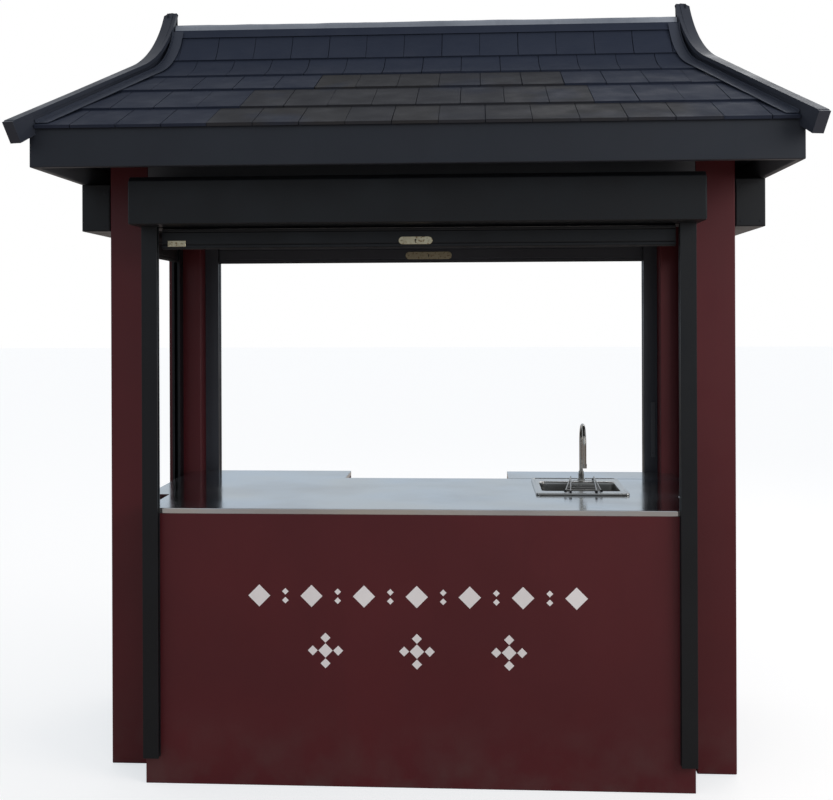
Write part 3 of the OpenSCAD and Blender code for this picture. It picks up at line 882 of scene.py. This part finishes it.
def lay_tiles(slope, seed):
    """Courses of lapped tiles in broken bond, cut to the hip boards."""
    rng = random.Random(seed)
    bm = bmesh.new()
    tone = bm.faces.layers.float.new("tone")
    dry = bm.faces.layers.float.new("dry")
    joint, bed, clear = 2.4 * MM, 0.3 * MM, 1 * MM
    thick_low, thick_high = 11 * MM, 3 * MM
    narrowest = 4 * MM
    for course, (low, high) in enumerate(zip(COURSES, COURSES[1:])):
        first = -EAVE_LAP if course == 0 else low
        last = min(high + COURSE_LAP, 1.0)
        steps = 1 if last * SLOPE_LENGTH < STRAIGHT_LENGTH else 5
        widest = slope.half(max(first, 0))
        shift = TILE_WIDTH * (0.5 * (course % 2) + 0.12 * rng.random())
        # The narrow strip under the ridge is one length
        width = TILE_WIDTH if high < 1.0 else 4 * EAVE_X
        count = int(widest / width) + 2 if high < 1.0 else 0
        for k in range(-count, count + 1):
            left = (k - 0.5) * width + shift + joint / 2 + rng.uniform(-1, 1) * MM
            right = (k + 0.5) * width + shift - joint / 2
            lift = rng.uniform(-0.6, 0.9) * MM
            rings = []
            for i in range(steps + 1):
                t = i / steps
                share = first + (last - first) * t
                edge = slope.half(max(share, 0)) - clear
                a, b = max(left, -edge), min(right, edge)
                if b - a < narrowest and i == 0:
                    break
                b = max(b, a + 0.5 * MM)
                top = thick_low * (1 - t) + thick_high * t + lift * (1 - t) + bed
                rings.append([slope.at(share, a, bed), slope.at(share, b, bed),
                              slope.at(share, b, top), slope.at(share, a, top)])
            if len(rings) != steps + 1:
                continue
            shade = rng.random()
            middle = (left + right) / 2
            # Painted sunlight: tiles inside the front slope's patch get the paler sunlit tone
            centre, reach = SUN_PATCH.get(course, (0.0, 0.0))
            sun_patch = slope.name == "front" and abs(middle - centre) < reach
            for face in sweep(bm, rings):
                # Each tile's own random tone, plus painted light that rises course by course
                face[tone] = shade + PAINTED_LIGHT_RISE * course
                face[dry] = 0.7 + 0.3 * shade if sun_patch else 0.0
    piece(f"roof_tiles_{slope.name}", bm, "roof_tile", ease=1.2 * MM, segments=1)


def hip_flashings(slope):
    """A folded strip covers the tiles' cut ends beside each hip board."""
    bm = bmesh.new()
    width, sheet, turn, steps = 42 * MM, 1.5 * MM, 11 * MM, 40
    base, clear = 14 * MM, 0.5 * MM
    for side in SIDES:
        rings = []
        for i in range(steps + 1):
            share = 0.004 + 0.986 * i / steps
            edge = slope.half(share) - clear
            inner = max(edge - width, 0.0)
            if edge < 8 * MM:
                break
            spots = [(inner, base), (edge, base), (edge, base + turn), (edge - sheet, base + turn),
                     (edge - sheet, base + sheet), (inner, base + sheet)]
            rings.append([slope.at(share, side * a, lift) for a, lift in spots])
        sweep(bm, rings)
    piece(f"hip_flashings_{slope.name}", bm, "flashing")


def hip_line(steps=16):
    """The hip board's top edge as (distance along, height): straight, then up in an arc to the horn."""
    slope = math.atan(math.tan(ROOF_SLOPE) * EAVE_Y / HIP_RUN)
    top = EAVE_Z + HIP_ABOVE
    bend = Vector((HIP_BEND, top + HIP_BEND * math.tan(slope)))
    tip = Vector((HIP_RUN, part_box("hip_board_front_left")[1].z - 2 * MM))
    chord = tip - bend
    turn = math.atan2(chord.y, chord.x) - slope
    radius = chord.length / (2 * math.sin(turn))
    start = 15 * MM - HIP_OVER
    points = [(start, top + start * math.tan(slope), slope)]
    for i in range(steps + 1):
        a = slope + 2 * turn * i / steps
        points.append((bend.x + radius * (math.sin(a) - math.sin(slope)),
                       bend.y + radius * (math.cos(slope) - math.cos(a)), a))
    return points


def hip_cappings():
    """A folded metal capping along the top edge of each hip board."""
    half, leg, sheet = HIP_THICK / 2 + 1.6 * MM, 13 * MM, 1.4 * MM
    section = [(-half, -leg), (-half, sheet), (half, sheet), (half, -leg), (half - sheet, -leg),
               (half - sheet, 0.1 * MM), (sheet - half, 0.1 * MM), (sheet - half, -leg)]
    for front, fname in ((-1, "front"), (1, "back")):
        for side, sname in ((-1, "left"), (1, "right")):
            corner = Vector((side * EAVE_X, front * EAVE_Y, 0))
            along = (Vector((side * RIDGE_X, 0, 0)) - corner).normalized()
            across = Vector((-along.y, along.x, 0))
            rings = []
            for t, z, pitch in hip_line():
                spot = corner + along * t + Vector((0, 0, z))
                up = along * -math.sin(pitch) + Vector((0, 0, math.cos(pitch)))
                rings.append([spot + across * a + up * b for a, b in section])
            bm = bmesh.new()
            sweep(bm, rings)
            piece(f"hip_capping_{fname}_{sname}", bm, "hip_slate", ease=0.5 * MM, segments=1)


def ridge():
    """A bedded ridge capping: a rounded top with two skirts, a little uneven along its length."""
    rng = random.Random(5)
    low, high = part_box("ridge_cap")
    radius, skirt, flange, steps = 21 * MM, 26 * MM, 9 * MM, 60
    length = high.x - low.x - 2 * HIP_THICK * 0.45
    rings = []
    wobble = [rng.uniform(-1, 1) for _ in range(steps + 1)]
    for i in range(steps + 1):
        x = -length / 2 + length * i / steps
        near = wobble[max(i - 1, 0):i + 2]
        lift = 1.6 * MM * sum(near) / len(near)
        top = high.z - radius + lift
        ring = [Vector((x, radius * math.cos(a), top + radius * math.sin(a)))
                for a in (math.pi * k / 12 for k in range(13))]
        out, foot = radius + flange, top - skirt
        ring += [Vector((x, -out, foot)), Vector((x, 4 * MM - out, foot - 3 * MM)),
                 Vector((x, out - 4 * MM, foot - 3 * MM)), Vector((x, out, foot))]
        rings.append(ring)
    bm = bmesh.new()
    sweep(bm, rings)
    # The capping gets the pale grey of painted sky reflection
    cap = piece("ridge_capping", bm, "flashing", look=RIDGE_SKY_SHEEN, ease=1 * MM)
    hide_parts("ridge_cap")


# ---- front panel's painted ornament ----

def lozenge(bm, x, z, half, y):
    """A lozenge of paint on the face at y."""
    film = 0.4 * MM
    prism(bm, [(x - half, z), (x, z - half), (x + half, z), (x, z + half)], "y", y - film, y)


def panel_ornament():
    """A plain painted ornament: a row of lozenges over three groups of small ones."""
    low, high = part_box("front_panel")
    row, pitch = 0.70 * high.z, 190 * MM
    group_row, group_pitch, petal = 0.50 * high.z, 330 * MM, 46
    bm = bmesh.new()
    for k in range(-3, 4):
        lozenge(bm, k * pitch, row, 40 * MM, low.y)
        for step in SIDES if k < 3 else ():
            lozenge(bm, (k + 0.5) * pitch, row + step * 16 * MM, 12 * MM, low.y)
    for k in (-1, 0, 1):
        for dx, dz, half in ((0, 0, 26), (-petal, 0, 18), (petal, 0, 18), (0, -petal, 18), (0, petal, 18)):
            lozenge(bm, k * group_pitch + dx * MM, group_row + dz * MM, half * MM, low.y)
    piece("panel_ornament", bm, "maroon_paint", look=WHITE_PAINT)


def paint_bare_nodes():
    """The nodes that show as they are get their looks."""
    for node in ("tap_base", "tap_spout", *("roof_slope_" + slope.name for slope in SLOPES)):
        mesh = frame["nodes"][node].data
        mesh.materials.clear()
        mesh.materials.append(LOOKS[SLOT_OF[node]])


# ---- the build ----

bpy.context.scene.view_settings.view_transform = "Standard"
add_camera()
add_world()
add_area_light("key", at=(4.2, -3.2, 3.0), target=(0.3, 0, 1.8), size=2.5, power=90, colour=(1.0, 0.98, 0.95))
add_area_light("back", at=(2.5, 4.5, 6.0), target=(0, 0, 1.8), size=3.0, power=50, colour=(1.0, 1.0, 1.0))
add_floor()

ease_nodes()
housing_end_plates()
guide_rails()
shutters()
lock_details()
sink()
worktop_seam()
tap_details()
dish_rack()
for number, side_slope in enumerate(SLOPES):
    lay_tiles(side_slope, 20 + number)
    hip_flashings(side_slope)
hip_cappings()
ridge()
panel_ornament()
paint_bare_nodes()
